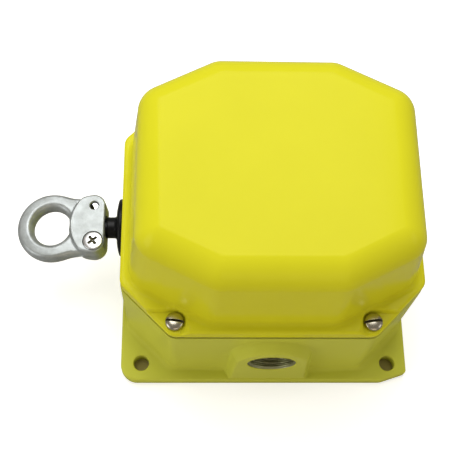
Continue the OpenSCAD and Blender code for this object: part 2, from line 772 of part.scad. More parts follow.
module switch_screws() color(steel) switch_screw_places() difference() {
  union() {
    rod_y(case_front_y - case_head_h, case_front_y - stack_gap / 2, case_head_r);
    rod_y(case_front_y - case_head_h / 2, plate_y + sheet_t + nut_h + nut_tail, case_screw_r);
  }
  translate([-nut_r, case_front_y - case_head_h - 1, -slot_w / 2]) cube([2 * nut_r, case_head_h, slot_w]);
}

module switch_nuts() color(steel) switch_screw_places()
  translate([0, plate_y + sheet_t + stack_gap / 2, 0]) rotate([-90, 0, 0]) difference() {
    cylinder(r = nut_r, h = nut_h, $fn = 6);
    translate([0, 0, -1]) cylinder(r = case_screw_r + fit_gap, h = nut_h + 2);
  }

module terminal_screws() color("#c2a24e") for (y = [case_front_y, case_rear_y])
  terminal_places(y) translate([0, 0, eps - terminal_deep])
    pan_screw(terminal_head_r, terminal_head_h, terminal_screw_l);

base_housing();
cover();
cover_gasket();
cover_screws();
shaft_boot();
front_bushing();
rear_bushing();
mechanism_frame();
frame_screws();
ground_screw();
pull_shaft();
cam_collar();
collar_pin();
spring_seat();
return_spring();
swivel_ball();
ball_screw();
eye_half_upper();
eye_half_lower();
eye_screws();
actuator_lever();
lever_pin();
pin_clip();
lever_roller();
roller_pin();
switch_case_front();
switch_case_rear();
switch_plunger_front();
switch_plunger_rear();
switch_screws();
switch_nuts();
terminal_screws();
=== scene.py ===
import math
import bpy
import numpy as np
from mathutils import Euler, Matrix, Vector


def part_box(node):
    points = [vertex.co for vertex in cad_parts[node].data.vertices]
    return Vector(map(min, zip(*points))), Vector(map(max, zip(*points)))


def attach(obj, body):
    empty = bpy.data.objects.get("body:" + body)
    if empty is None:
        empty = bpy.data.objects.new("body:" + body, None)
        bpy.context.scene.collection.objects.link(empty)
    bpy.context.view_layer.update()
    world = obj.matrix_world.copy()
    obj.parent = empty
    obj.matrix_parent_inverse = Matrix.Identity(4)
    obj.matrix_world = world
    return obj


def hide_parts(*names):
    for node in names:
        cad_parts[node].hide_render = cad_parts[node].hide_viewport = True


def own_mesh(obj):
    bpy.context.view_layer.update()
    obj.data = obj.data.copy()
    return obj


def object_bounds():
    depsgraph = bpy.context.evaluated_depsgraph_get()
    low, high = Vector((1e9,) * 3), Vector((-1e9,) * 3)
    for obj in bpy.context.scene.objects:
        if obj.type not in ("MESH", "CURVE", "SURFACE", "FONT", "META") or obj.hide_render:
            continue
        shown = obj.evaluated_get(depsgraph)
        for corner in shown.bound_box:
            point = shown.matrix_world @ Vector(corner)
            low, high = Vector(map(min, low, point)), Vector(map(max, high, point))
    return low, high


# Rope pull switch: painted cast housing with a bolted domed cover, a cast pull eye on a
# sprung shaft and a threaded conduit entry. Lengths are in millimetres until a mesh is made.

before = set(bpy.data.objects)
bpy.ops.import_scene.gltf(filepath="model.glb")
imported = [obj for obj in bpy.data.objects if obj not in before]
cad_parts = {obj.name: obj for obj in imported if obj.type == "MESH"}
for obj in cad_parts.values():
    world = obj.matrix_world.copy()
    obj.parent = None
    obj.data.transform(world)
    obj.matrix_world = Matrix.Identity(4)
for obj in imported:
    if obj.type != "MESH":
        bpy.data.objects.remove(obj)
cadBox = [list(corner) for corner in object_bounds()]
mm = 0.001
shaftZ = 40.5       # height of the shaft's axis over the plate's underside
onAxis = 0.001      # radius at which a solid turned profile starts and ends
fourCorners = [(sx, sy) for sx in (-1, 1) for sy in (-1, 1)]
print("frame loaded:", len(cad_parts), "nodes")


def boxOf(node):
    # lowest and highest corner of a CAD node, in millimetres
    return [np.array(corner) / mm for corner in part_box(node)]


# Camera, light and floor

camera = {
    "lens": 74.4,
    "sensor": 36,
    "nearest": 10,
    "place": (-34.9, -161.2, 428.0),
    "turn": (22.933, -2.236, -0.536),   # degrees
    "shift": (-0.0049, -0.0044),
}

viewer = bpy.data.objects.new("camera", bpy.data.cameras.new("camera"))
bpy.context.collection.objects.link(viewer)
viewer.data.lens = camera["lens"]
viewer.data.sensor_width = camera["sensor"]
viewer.data.shift_x, viewer.data.shift_y = camera["shift"]
viewer.data.clip_start = camera["nearest"] * mm
viewer.location = Vector(camera["place"]) * mm
viewer.rotation_euler = Euler([math.radians(a) for a in camera["turn"]])
bpy.context.scene.camera = viewer
bpy.context.scene.view_settings.view_transform = "Standard"


def linear(code):
    # sRGB hex such as "#E4E12C" to linear colour with alpha
    parts = np.array([int(code[i:i + 2], 16) for i in (1, 3, 5)]) / 255
    low = parts / 12.92
    high = ((parts + 0.055) / 1.055) ** 2.4
    return (*np.where(parts <= 0.04045, low, high), 1.0)


def addNode(tree, kind, links=None, **settings):
    # a node of this kind; settings name its properties or its sockets, links maps its
    # input sockets to other sockets
    node = tree.nodes.new(kind)
    for key, value in settings.items():
        if hasattr(node, key):
            setattr(node, key, value)
        else:
            node.inputs[key.replace("_", " ")].default_value = value
    for socket, source in (links or {}).items():
        tree.links.new(source, node.inputs[socket])
    return node


def newMaterial(name):
    # an empty material: itself, its tree, its output node and a socket with the place on
    # the object
    material = bpy.data.materials.new(name)
    material.use_nodes = True
    tree = material.node_tree
    tree.nodes.clear()
    output = addNode(tree, "ShaderNodeOutputMaterial")
    return material, tree, output, addNode(tree, "ShaderNodeTexCoord").outputs["Object"]


lamps = {
    # name: place in mm, aims at in mm, size in mm, watts, colour
    "overhead": ((-70, 285, 765), (0, 0, 50), (620, 620), 5.05, "#FFFFFF"),
    "left": ((-620, -330, 240), (-40, 0, 45), (340, 400), 1.05, "#FFFFFF"),
    "front": ((120, -740, 330), (0, 0, 40), (520, 260), 0.57, "#FFECD4"),
    "right": ((620, -260, 330), (0, 0, 40), (300, 300), 0.42, "#FFFFFF"),
}

for name, (place, target, size, power, colour) in lamps.items():
    light = bpy.data.lights.new(name, "AREA")
    light.shape = "RECTANGLE"
    light.size = size[0] * mm
    light.size_y = size[1] * mm
    light.energy = power
    light.color = linear(colour)[:3]
    lamp = bpy.data.objects.new(name, light)
    lamp.location = Vector(place) * mm
    aim = (Vector(target) - Vector(place)).normalized()
    lamp.rotation_euler = aim.to_track_quat("-Z", "Y").to_euler()
    bpy.context.collection.objects.link(lamp)


room = {
    "strength": 0.265,
    "light": "#FFF4E2",
    "seen": "#FFFFFF",      # what the camera sees of it, at a strength of 1
}


def backgroundRays(tree):
    # the light paths, and a socket that is 1 for rays from the camera and through glass
    rays = addNode(tree, "ShaderNodeLightPath").outputs
    seen = addNode(tree, "ShaderNodeMath", {0: rays["Is Camera Ray"], 1: rays["Is Transmission Ray"]},
                   operation="MAXIMUM")
    return rays, seen.outputs[0]


def makeRoom():
    # soft light from all round, which the camera sees as white
    world = bpy.data.worlds.new("room")
    bpy.context.scene.world = world
    world.use_nodes = True
    tree = world.node_tree
    tree.nodes.clear()
    seen = backgroundRays(tree)[1]
    strength = addNode(tree, "ShaderNodeMapRange", {"Value": seen}, To_Min=room["strength"], To_Max=1.0)
    tint = addNode(tree, "ShaderNodeMix", {"Factor": seen}, data_type="RGBA",
                   A=linear(room["light"]), B=linear(room["seen"]))
    background = addNode(tree, "ShaderNodeBackground",
                         {"Color": tint.outputs["Result"], "Strength": strength.outputs[0]})
    addNode(tree, "ShaderNodeOutputWorld", {"Surface": background.outputs[0]})


floor = {
    "half": 4000,
    "below": 0.2,               # distance under the plate
    "paper": "#E6E6E6",
    "mirrored": "#A0A0A0",      # as gloss surfaces mirror it, so that upright walls keep their colour
    # painted shade: the floor's dark olive colour under the plate
    "shade": "#A39763",         # under the plate, where only the mounting holes let it be seen
    "holes": (57.15, 53.1),     # half the spans between the mounting holes
    "shadeEnd": (4, 5),         # the shade fades out between these distances beyond the holes
    "lift": (0.58, 0.86),       # glow to the camera near the object and far away
    "liftReach": (250, 1300),   # from where to where it grows, past the lamps' reach
}


def placeFloor():
    # white paper sweep: lit like paper, and a little lighter to the camera so that it reads as white; the
    # glow grows with distance, so that no horizon is seen; under the plate, seen only through the mounting
    # holes, it has painted shade instead
    f = floor
    material, tree, output, _ = newMaterial("matt_white_paper")
    rays, seen = backgroundRays(tree)
    # distance from the rectangle through the holes' centres: length of max(|place| - half, 0)
    place = addNode(tree, "ShaderNodeNewGeometry")
    across = addNode(tree, "ShaderNodeVectorMath", {0: place.outputs["Position"]},
                     operation="ABSOLUTE")
    beyond = addNode(tree, "ShaderNodeVectorMath", {0: across.outputs[0]}, operation="SUBTRACT")
    beyond.inputs[1].default_value = (f["holes"][0] * mm, f["holes"][1] * mm, 0)
    only = addNode(tree, "ShaderNodeVectorMath", {0: beyond.outputs[0]}, operation="MAXIMUM")
    only.inputs[1].default_value = (0, 0, 0)
    far = addNode(tree, "ShaderNodeVectorMath", {0: only.outputs[0]}, operation="LENGTH")
    outside = addNode(tree, "ShaderNodeMapRange", {"Value": far.outputs["Value"]},
                      From_Min=f["shadeEnd"][0] * mm, From_Max=f["shadeEnd"][1] * mm)
    # the glow is cut off under the plate too, as part of the painted shade
    opened = addNode(tree, "ShaderNodeMath", {0: seen, 1: outside.outputs[0]}, operation="MULTIPLY")
    share = addNode(tree, "ShaderNodeMapRange", {"Value": far.outputs["Value"]},
                    From_Min=f["liftReach"][0] * mm, From_Max=f["liftReach"][1] * mm,
                    To_Min=f["lift"][0], To_Max=f["lift"][1])
    lift = addNode(tree, "ShaderNodeMath", {0: opened.outputs[0], 1: share.outputs[0]},
                   operation="MULTIPLY")
    sheet = addNode(tree, "ShaderNodeMix", {"Factor": outside.outputs[0]}, data_type="RGBA",
                    A=linear(f["shade"]), B=linear(f["paper"]))
    mirrored = addNode(tree, "ShaderNodeMix", {"Factor": rays["Is Glossy Ray"],
                       "A": sheet.outputs["Result"]}, data_type="RGBA", B=linear(f["mirrored"]))
    paper = addNode(tree, "ShaderNodeBsdfDiffuse", {"Color": mirrored.outputs["Result"]})
    glow = addNode(tree, "ShaderNodeEmission", {"Strength": lift.outputs[0]}, Color=linear("#FFFFFF"))
    both = addNode(tree, "ShaderNodeAddShader", {0: paper.outputs[0], 1: glow.outputs[0]})
    tree.links.new(both.outputs[0], output.inputs["Surface"])
    half = f["half"] * mm
    mesh = bpy.data.meshes.new("floor")
    corners = [(-half, -half, 0), (half, -half, 0), (half, half, 0), (-half, half, 0)]
    mesh.from_pydata(corners, [], [(0, 1, 2, 3)])
    mesh.materials.append(material)
    ground = bpy.data.objects.new("floor", mesh)
    ground.location = (0, 0, cadBox[0][2] - f["below"] * mm)
    bpy.context.collection.objects.link(ground)


makeRoom()
placeFloor()
print("camera, lamps and floor placed")


# Materials: patterns are soft noise on Object coordinates, with lumps of a real size in mm

powder = {
    "drift": 26,            # slow change of tone
    "peel": 2.6,            # orange peel
    "peelDepth": 0.08,
    "speck": 0.6,           # grain of the coat, drawn coarser than the real one so that it shows
    "speckDepth": 0.05,
    "gleam": "#F0ECC4",     # its reflections take a little of its colour
}


def powderCoat(name, colour, shade, rough, gloss):
    # gloss powder coat over a casting: deep clean colour, a faint orange peel that breaks up
    # the reflections, and a slow drift of tone
    p = powder
    material, tree, output, spot = newMaterial(name)
    drift = addNode(tree, "ShaderNodeTexNoise", {"Vector": spot}, Scale=1 / (p["drift"] * mm), Detail=3)
    tone = addNode(tree, "ShaderNodeMix", {"Factor": drift.outputs["Fac"]}, data_type="RGBA",
                   A=linear(colour), B=linear(shade))
    peel = addNode(tree, "ShaderNodeTexNoise", {"Vector": spot}, Scale=1 / (p["peel"] * mm), Detail=2)
    speck = addNode(tree, "ShaderNodeTexNoise", {"Vector": spot}, Scale=1 / (p["speck"] * mm), Detail=1)
    fine = addNode(tree, "ShaderNodeBump", {"Height": speck.outputs["Fac"]},
                   Strength=0.05, Distance=p["speckDepth"] * mm)
    bump = addNode(tree, "ShaderNodeBump", {"Height": peel.outputs["Fac"], "Normal": fine.outputs[0]},
                   Strength=0.1, Distance=p["peelDepth"] * mm)
    paint = addNode(tree, "ShaderNodeBsdfPrincipled",
                    {"Base Color": tone.outputs["Result"], "Normal": bump.outputs[0]}, Roughness=rough,
                    IOR=1.5, Specular_IOR_Level=gloss, Specular_Tint=linear(p["gleam"]))
    tree.links.new(paint.outputs[0], output.inputs["Surface"])
    return material


def castMetal(name, light, dark, rough, metallic, cloud, grit, depth):
    # cast and tumbled metal: pale skin with cloudy patches and a fine pebbled surface, dulled
    # by oxide, so it isn't fully metallic
    material, tree, output, spot = newMaterial(name)
    patches = addNode(tree, "ShaderNodeTexNoise", {"Vector": spot}, Scale=1 / (cloud * mm),
                      Detail=4, Roughness=0.6)
    ramp = addNode(tree, "ShaderNodeValToRGB", {"Fac": patches.outputs["Fac"]})
    for stop, position, colour in zip(ramp.color_ramp.elements, (0.32, 0.68), (dark, light)):
        stop.position = position
        stop.color = linear(colour)
    pebble = addNode(tree, "ShaderNodeTexNoise", {"Vector": spot}, Scale=1 / (grit * mm),
                     Detail=3, Roughness=0.6)
    bump = addNode(tree, "ShaderNodeBump", {"Height": pebble.outputs["Fac"]},
                   Strength=0.5, Distance=depth * mm)
    skin = addNode(tree, "ShaderNodeBsdfPrincipled",
                   {"Base Color": ramp.outputs["Color"], "Normal": bump.outputs[0]},
                   Metallic=metallic, Roughness=rough)
    tree.links.new(skin.outputs[0], output.inputs["Surface"])
    return material


def turnedMetal(name, light, dark, rough, lay=0.25, stretch=(1, 1, 1)):
    # machined, plated or ground metal: a fine grain with small changes of tone, drawn out to
    # lines along an axis where stretch is small; coarser than the real one so that it shows
    material, tree, output, spot = newMaterial(name)
    mapping = addNode(tree, "ShaderNodeMapping", {"Vector": spot}, Scale=stretch)
    lines = addNode(tree, "ShaderNodeTexNoise", {"Vector": mapping.outputs[0]},
                    Scale=1 / (lay * mm), Detail=2)
    tone = addNode(tree, "ShaderNodeMix", {"Factor": lines.outputs["Fac"]}, data_type="RGBA",
                   A=linear(dark), B=linear(light))
    bump = addNode(tree, "ShaderNodeBump", {"Height": lines.outputs["Fac"]},
                   Strength=0.12, Distance=0.02 * mm)
    metal = addNode(tree, "ShaderNodeBsdfPrincipled",
                    {"Base Color": tone.outputs["Result"], "Normal": bump.outputs[0]},
                    Metallic=1.0, Roughness=rough)
    tree.links.new(metal.outputs[0], output.inputs["Surface"])
    return material


def mouldedSkin(name, light, dark, rough, grit, depth, gloss=0.5):
    # moulded rubber or plastic: even colour with faint clouds, and a fine mould texture
    material, tree, output, spot = newMaterial(name)
    cloud = addNode(tree, "ShaderNodeTexNoise", {"Vector": spot}, Scale=1 / (3.0 * mm), Detail=3)
    tone = addNode(tree, "ShaderNodeMix", {"Factor": cloud.outputs["Fac"]}, data_type="RGBA",
                   A=linear(dark), B=linear(light))
    texture = addNode(tree, "ShaderNodeTexNoise", {"Vector": spot}, Scale=1 / (grit * mm), Detail=2)
    bump = addNode(tree, "ShaderNodeBump", {"Height": texture.outputs["Fac"]},
                   Strength=0.35, Distance=depth * mm)
    skin = addNode(tree, "ShaderNodeBsdfPrincipled",
                   {"Base Color": tone.outputs["Result"], "Normal": bump.outputs[0]},
                   Roughness=rough, IOR=1.5, Specular_IOR_Level=gloss)
    tree.links.new(skin.outputs[0], output.inputs["Surface"])
    return material


# the cover's coat is warm and glossy, the base's greener and flatter
coverPaint = powderCoat("gloss_powder_coat_cover", "#E2DE2B", "#DCD827", rough=0.17, gloss=0.11)
basePaint = powderCoat("gloss_powder_coat_base", "#D2D550", "#CBCE4B", rough=0.26, gloss=0.05)
# pale grey eye with a soft sheen; yellowish thread, a painted reflection of the paint around it
castZinc = castMetal("tumbled_cast_zinc", "#B7BDBE", "#9DA2A2", rough=0.42, metallic=0.62,
                     cloud=5.0, grit=0.7, depth=0.12)
cutThread = turnedMetal("cut_thread_in_cast_metal", "#C9CBA0", "#A5A47C", rough=0.4, lay=0.5)
# screws: warm bright nickel, cold bright zinc, green passivation, brass, and painted shade for their
# recesses
nickelPlate = turnedMetal("bright_nickel_plate", "#C9C3B2", "#AFA999", rough=0.27)
brightZinc = turnedMetal("bright_zinc_plate", "#F0F1F2", "#E0E2E4", rough=0.3)
greenPlate = turnedMetal("green_passivated_zinc", "#5F9A4C", "#4C7F3D", rough=0.38)
brassPlate = turnedMetal("brass_screw", "#D0AE5A", "#B08F42", rough=0.3)
# painted shade: dark dull metal standing for the shade inside screw slots, cross recesses and the thread's
# run-out at a tip
recessShade = turnedMetal("painted_recess_shade", "#5E5A48", "#45422F", rough=0.6)
# works: ground bars with lines along X, dull sheet, dark wire, black shaft, brown bushes
steelBar = turnedMetal("ground_steel", "#B9BABC", "#9A9C9F", rough=0.28, lay=0.2, stretch=(0.08, 1, 1))
zincSheet = turnedMetal("zinc_plated_sheet", "#C4C7CA", "#A9ADB1", rough=0.35, lay=0.4)
springWire = turnedMetal("spring_wire", "#8E9093", "#6F7174", rough=0.36)
blackOxide = turnedMetal("black_oxide_steel", "#3A3B3D", "#2A2B2C", rough=0.42)
bushBronze = turnedMetal("sintered_bronze", "#B98A4E", "#94683A", rough=0.4)
# soft black boot, dull olive gasket, brown-black switch cases, red plungers
bootRubber = mouldedSkin("moulded_rubber", "#131416", "#0C0D0E", rough=0.36, grit=0.8,
                         depth=0.03, gloss=0.2)
gasketRubber = mouldedSkin("cork_rubber_gasket", "#2A2A1C", "#1C1C12", rough=0.7, grit=0.6, depth=0.05)
caseBlack = mouldedSkin("phenolic_case", "#2E2C2A", "#232120", rough=0.45, grit=0.5, depth=0.03)
plungerRed = mouldedSkin("acetal_plunger", "#B5482F", "#A33E28", rough=0.35, grit=0.5, depth=0.02)

finishes = {
    "base_housing": basePaint, "cover": coverPaint, "cover_gasket": gasketRubber,
    "cover_screws": nickelPlate, "shaft_boot": bootRubber, "front_bushing": bushBronze,
    "rear_bushing": bushBronze, "mechanism_frame": zincSheet, "frame_screws": zincSheet,
    "ground_screw": greenPlate, "pull_shaft": blackOxide, "cam_collar": steelBar,
    "collar_pin": springWire, "spring_seat": zincSheet, "return_spring": springWire,
    "swivel_ball": blackOxide, "ball_screw": blackOxide, "eye_half_upper": castZinc,
    "eye_half_lower": castZinc, "eye_screws": brightZinc, "actuator_lever": zincSheet,
    "lever_pin": steelBar, "pin_clip": springWire, "lever_roller": steelBar,
    "roller_pin": steelBar, "switch_case_front": caseBlack, "switch_case_rear": caseBlack,
    "switch_plunger_front": plungerRed, "switch_plunger_rear": plungerRed,
    "switch_screws": zincSheet, "switch_nuts": zincSheet, "terminal_screws": brassPlate,
}

for node, finish in finishes.items():
    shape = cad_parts[node]
    if not shape.data.materials:
        shape.data.materials.append(finish)
    for slot in shape.material_slots:
        slot.link = "OBJECT"
        slot.material = finish
print("materials set on", len(finishes), "nodes")


# Surfaces worked out on grids

def meshObject(name, points, quads, caps=()):
    # points in mm, quads as rows of four indices, caps as longer rings of indices;
    # the whole is turned inside out if its volume comes out negative
    a, b, c, d = (points[quads[:, k]] for k in range(4))
    volume = np.einsum("ij,ij->", a, np.cross(b, c)) + np.einsum("ij,ij->", a, np.cross(c, d))
    for cap in caps:
        ring = points[cap]
        volume += np.einsum("j,ij->", ring[0], np.cross(ring[1:-1], ring[2:]))
    if volume < 0:
        quads = quads[:, ::-1]
        caps = [cap[::-1] for cap in caps]
    corners = np.concatenate([quads.ravel(), *caps]).astype(np.int32)
    counts = np.concatenate([np.full(len(quads), 4), [len(cap) for cap in caps]]).astype(np.int32)
    starts = np.concatenate([[0], np.cumsum(counts)[:-1]]).astype(np.int32)
    mesh = bpy.data.meshes.new(name)
    mesh.vertices.add(len(points))
    mesh.vertices.foreach_set("co", (points * mm).astype(np.float32).ravel())
    mesh.loops.add(len(corners))
    mesh.loops.foreach_set("vertex_index", corners)
    mesh.polygons.add(len(counts))
    mesh.polygons.foreach_set("loop_start", starts)
    mesh.update(calc_edges=True)
    mesh.validate()
    piece = bpy.data.objects.new(name, mesh)
    bpy.context.collection.objects.link(piece)
    return piece


def skinOf(name, rings, closed=False):
    # rings is an array (ring, point, 3): neighbouring rings are joined by quads, and the
    # first and last are capped, or joined to each other when closed
    rings = np.asarray(rings, float)
    count, size = rings.shape[:2]
    rows = np.arange(count if closed else count - 1)[:, None]
    cols = np.arange(size)[None, :]
    nextRow = (rows + 1) % count
    nextCol = (cols + 1) % size
    corners = (rows * size + cols, rows * size + nextCol, nextRow * size + nextCol, nextRow * size + cols)
    quads = np.stack(np.broadcast_arrays(*corners), -1).reshape(-1, 4)
    caps = [] if closed else [np.arange(size)[::-1], np.arange(size) + (count - 1) * size]
    return meshObject(name, rings.reshape(-1, 3), quads, caps)


def turned(name, profile, steps=96, axis="Z", at=(0, 0, 0), closed=False):
    # a profile of (radius, height) points carried round an axis; closed joins its ends
    profile = np.asarray(profile, float)
    angle = np.linspace(0, 2 * math.pi, steps, endpoint=False)
    radius, height = profile[:, 0][:, None], profile[:, 1][:, None]
    u, v, w = radius * np.cos(angle), radius * np.sin(angle), height + 0 * angle
    order = {"Z": (u, v, w), "X": (w, u, v), "Y": (v, w, u)}[axis]
    return skinOf(name, np.stack(order, -1) + np.array(at, float), closed)


def rod(radius, low, high):
    # profile of a plain round bar
    return [(onAxis, low), (radius, low), (radius, high), (onAxis, high)]


def bend(last, steps):
    # angles of a rounding, in radians, from 0 to last degrees
    return np.radians(np.linspace(0, last, steps))


def carve(piece, cutters, operation="DIFFERENCE"):
    # takes the cutters away from the piece, or joins them on, for good
    for cutter in cutters:
        cut = piece.modifiers.new("carve", "BOOLEAN")
        cut.object = cutter
        cut.operation = operation
        cut.solver = "EXACT"
    graph = bpy.context.evaluated_depsgraph_get()
    mesh = bpy.data.meshes.new_from_object(piece.evaluated_get(graph))
    piece.modifiers.clear()
    piece.data = mesh
    for cutter in cutters:
        bpy.data.objects.remove(cutter)


def smooth(t):
    # 0 below 0, 1 above 1, and 3 t^2 - 2 t^3 between
    t = np.clip(t, 0, 1)
    return t * t * (3 - 2 * t)


def dress(piece, material, body, node, angle=32):
    # finish, shading and place in the frame of a piece, which may stand for a CAD node
    piece.data.materials.clear()
    piece.data.materials.append(material)
    piece.data.shade_smooth()
    piece.data.set_sharp_from_angle(angle=math.radians(angle))
    if node:
        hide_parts(node)
    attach(piece, body)


# Eight-sided outlines with round corners

arcSteps = 8        # of each round corner
cornerLoss = 2 - math.sqrt(2)       # a 45 degree cut shortens by this much a mm of inset


def eightSided(halfX, halfY, cutX, cutY):
    # sharp corners of a rectangle with cut corners, anticlockwise from the right side's
    # front end; the cuts are single numbers or one for each corner from front right
    cx = np.broadcast_to(np.asarray(cutX, float), 4)
    cy = np.broadcast_to(np.asarray(cutY, float), 4)
    return np.array([
        [halfX, cy[0] - halfY], [halfX, halfY - cy[1]], [halfX - cx[1], halfY], [cx[2] - halfX, halfY],
        [-halfX, halfY - cy[2]], [-halfX, cy[3] - halfY], [cx[3] - halfX, -halfY], [halfX - cx[0], -halfY]])


def normalsOf(corners):
    # outward normals of the side before and the side after each corner
    ahead = np.roll(corners, -1, 0) - corners
    ahead /= np.linalg.norm(ahead, axis=1)[:, None]
    after = np.stack([ahead[:, 1], -ahead[:, 0]], 1)
    return np.roll(after, 1, 0), after


def grownBy(corners, reach):
    # moves every side outwards by reach: corner + reach (n + m) / (1 + n . m), n and m being
    # the normals of its two sides
    before, after = normalsOf(corners)
    return corners + reach * (before + after) / (1 + (before * after).sum(1))[:, None]


def roundLoop(corners, radii, spread):
    # the outline of these corners, each rounded by its radius: an arc at each corner and
    # then points at the given fractions along each straight
    corners = np.asarray(corners, float)
    radii = np.broadcast_to(np.asarray(radii, float), 8)
    before, after = normalsOf(corners)
    centre = grownBy(corners, -radii[:, None])
    start = np.arctan2(before[:, 1], before[:, 0])
    sweep = np.mod(np.arctan2(after[:, 1], after[:, 0]) - start, 2 * math.pi)
    turn = start[:, None] + sweep[:, None] * np.linspace(0, 1, arcSteps + 1)
    arcs = centre[:, None] + radii[:, None, None] * np.stack([np.cos(turn), np.sin(turn)], -1)
    parts = []
    for k in range(8):
        reach = arcs[(k + 1) % 8, 0] - arcs[k, -1]
        parts += [arcs[k], arcs[k, -1] + spread[k][:, None] * reach]
    return np.concatenate(parts)


def atHeight(loop, z):
    # an outline lifted to one height, or to a height for each point
    return np.column_stack([loop, np.broadcast_to(z, len(loop))])


def stops(*pairs):
    # fractions along a straight, from (end of stretch, number of steps) pairs
    parts, last = [], 0.0
    for end, steps in pairs:
        parts.append(np.linspace(last, end, steps + 1)[1:])
        last = end
    return np.concatenate(parts)[:-1]


# Cover: flat top, round shoulder, drafted wall, soft foot, ledge and rim

coverLow, coverHigh = boxOf("cover")
screwLow, screwHigh = boxOf("cover_screws")

cover = {
    "shoulder": 11.0,       # reach of the upper edge's rounding
    "shoulderPower": (1.6, 1.9),    # front and back: below 2 it leaves the flat top more sharply
    "topInX": 18.9,         # flat top's distance from the rim's side
    "topInY": 16.7,
    "topCut": (23.0, 11.8),         # corner cut of the flat top
    "footCut": (26.2, 13.4),
    "draft": (4.2, 1.3),
    "footBlend": 2.2,       # concave blend onto the ledge
    "rim": 6.0,
    "rimLower": 0.7,        # the rim's lower edge hangs this much over the gasket
    "rimFoot": ((0.2, 0.15), (0.6, 0)),     # its small chamfer: in and up
    "rimCut": 21.6,
    "rimRound": 6.0,        # upright edges of the rim
    "rimEdge": 1.25,        # top edge of the rim
    "rimIn": 0.2,           # the rim stands back from the tub's wall by this much
    "wall": 3.4,
    "seatRadius": 4.4,      # lowered seat round a screw
    "seatDepth": 3.1,
    "seatSlope": 0.6,
    "seatFlow": 0.8,        # the seat's side wall softens by this much a mm towards the edge
    "screwHole": 2.7,
    "screwHead": 3.95,
    "screwIn": 0.6,         # the screws sit this much nearer the middle across the width
    "under": 0.005,         # the top stays this much under the CAD box
}

screwPlace = screwHigh[:2] - cover["screwHead"] - np.array([0, cover["screwIn"]])


def makeCover():
    # one closed surface of rings: each ring is the outline at one place of the section,
    # from the flat top down to the rim, under it and up the inside
    c = cover
    bottom, top = coverLow[2], coverHigh[2]
    rimTop, lip = bottom + c["rim"], bottom - c["rimLower"]
    shoulder, blend, edge = c["shoulder"], c["footBlend"], c["rimEdge"]
    # more points where the screws' seats are
    long = stops((0.12, 26), (0.88, 14), (1, 26))
    side = stops((1, 14))
    towards = stops((0.4, 8), (1, 60))
    onwards = 1 - towards[::-1]
    spread = [side, towards, long, onwards, side, towards, long, onwards]

    def dome(f, grown):
        # the dome's outline, f being 1 at the foot and 0 at the top, grown outwards
        halfX = coverHigh[0] - c["topInX"] + f * c["draft"][0]
        halfY = coverHigh[1] - c["topInY"] + f * c["draft"][1]
        cutX = c["topCut"][0] + f * (c["footCut"][0] - c["topCut"][0])
        cutY = c["topCut"][1] + f * (c["footCut"][1] - c["topCut"][1])
        return roundLoop(grownBy(eightSided(halfX, halfY, cutX, cutY), grown), grown, spread)

    def rimLoop(inset):
        # the rim's outline
        inset += c["rimIn"]
        halfX, halfY = coverHigh[0] - inset, coverHigh[1] - inset
        cut = c["rimCut"] - inset * cornerLoss
        return roundLoop(eightSided(halfX, halfY, cut, cut), c["rimRound"] - inset, spread)

    rings, fade = [], []

    def add(loop, z, strength=0.0):
        # strength is the share of a screw seat's depth that this ring takes
        rings.append(atHeight(loop, z))
        fade.append(strength)

    # superellipse: drop = shoulder x (1 - (1 - grown ^ power) ^ (1 / power)), grown from 0 to 1
    front, back = c["shoulderPower"]
    for t in np.radians(np.linspace(1, 90, 28)):
        grown = math.sin(t) ** 1.2
        loop = dome(0, shoulder * grown)
        power = front + (back - front) * smooth(loop[:, 1] / coverHigh[1] / 1.4 + 0.5)
        drop = shoulder * (1 - np.maximum(1 - grown ** power, 0) ** (1 / power))
        add(loop, top - c["under"] - drop)
    wallTop, wallFoot = top - shoulder, rimTop + blend
    for f in np.linspace(0, 1, 12)[1:-1]:
        add(dome(f, shoulder), wallTop + (wallFoot - wallTop) * f)
    for t in bend(90, 9)[::-1]:
        add(dome(1, shoulder + blend * (1 - math.sin(t))), rimTop + blend * (1 - math.cos(t)),
            1 - math.sin(t) ** 2)
    foot, ledge = rings[-1][:, :2], rimLoop(edge)
    for w in np.linspace(0, 1, 37)[1:]:
        add(foot + (ledge - foot) * w, rimTop, 1.0)
    for t in bend(90, 8)[1:]:
        add(rimLoop(edge * (1 - math.sin(t))), rimTop - edge * (1 - math.cos(t)), 1.0)
    for z in np.linspace(rimTop - edge, lip + 0.5, 5)[1:]:
        add(rimLoop(0), z, 1.0)
    for inset, up in c["rimFoot"]:
        add(rimLoop(inset), lip + up)
    inner = shoulder - c["wall"]
    add(dome(1, inner), bottom)
    for t in bend(80, 7):
        add(dome(0, inner * math.cos(t)), top - shoulder + inner * math.sin(t))

    rings, fade = np.array(rings), np.array(fade)[:, None]
    # seat round each screw, open to the corner: everything within seatRadius of the
    # quadrant that starts at the screw and points outwards sinks by seatDepth
    offX = screwPlace[0] - np.abs(rings[..., 0])
    offY = screwPlace[1] - np.abs(rings[..., 1])
    away = np.hypot(np.maximum(offX, 0), np.maximum(offY, 0)) - c["seatRadius"]
    slope = c["seatSlope"] + c["seatFlow"] * np.maximum(-offY, 0)
    sink = (1 - smooth(away / slope + 0.5)) * fade * c["seatDepth"] / c["rim"]
    sunk = bottom + (rings[..., 2] - bottom) * (1 - sink)
    rings[..., 2] = np.where(fade > 0, sunk, rings[..., 2])
    piece = skinOf("cover_shell", rings)
    hole = rod(c["screwHole"], bottom - 2, rimTop)
    carve(piece, [turned("hole", hole, 32, at=(sx * screwPlace[0], sy * screwPlace[1], 0))
                  for sx, sy in fourCorners])
    dress(piece, coverPaint, "housing", "cover")


makeCover()
print("cover made")


# Base: plate, tub with its cove, conduit boss, and the gasket between it and the cover

baseTop = boxOf("base_housing")[1][2]

